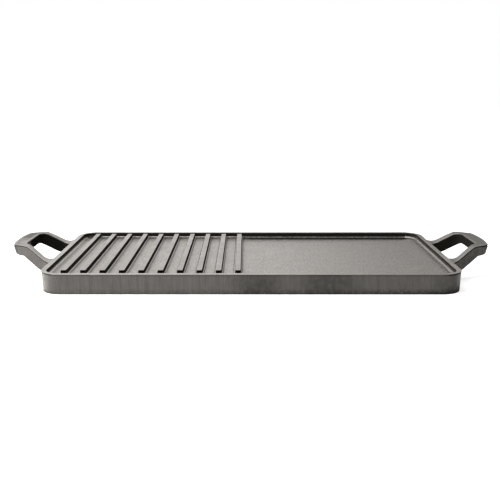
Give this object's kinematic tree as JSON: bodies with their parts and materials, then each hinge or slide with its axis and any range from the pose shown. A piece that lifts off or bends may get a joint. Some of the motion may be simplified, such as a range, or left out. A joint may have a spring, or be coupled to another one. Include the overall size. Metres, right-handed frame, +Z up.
{
  "type": "griddle",
  "caption": "Long shallow cast iron pan with a raised rim, grill ribs over one half of its floor, a smooth other half and a raised loop handle at each end.",
  "frame": {"origin": "on the table, under the middle of the pan", "axes": "+X along the length of the pan, from the ribbed half to the smooth half; +Y along the ribs, away from the side that the picture looks from; +Z up"},
  "size_m": [0.574, 0.25, 0.0385],
  "materials": {
    "pan_iron": "satin seasoned iron, ground on the outside of the wall",
    "deck_iron": "fine pebbled seasoned iron",
    "rib_iron": "seasoned iron, smoother along the tops",
    "handle_iron": "as-cast seasoned iron with a soft grain"
  },
  "bodies": {
    "root": {"rim_wall": "pan_iron", "cooking_plate": "deck_iron", "left_handle": "handle_iron", "right_handle": "handle_iron", "grill_rib_01": "rib_iron", "grill_rib_02": "rib_iron", "grill_rib_03": "rib_iron", "grill_rib_04": "rib_iron", "grill_rib_05": "rib_iron", "grill_rib_06": "rib_iron", "grill_rib_07": "rib_iron", "grill_rib_08": "rib_iron", "grill_rib_09": "rib_iron", "grill_rib_10": "rib_iron"}
  },
  "joints": []
}
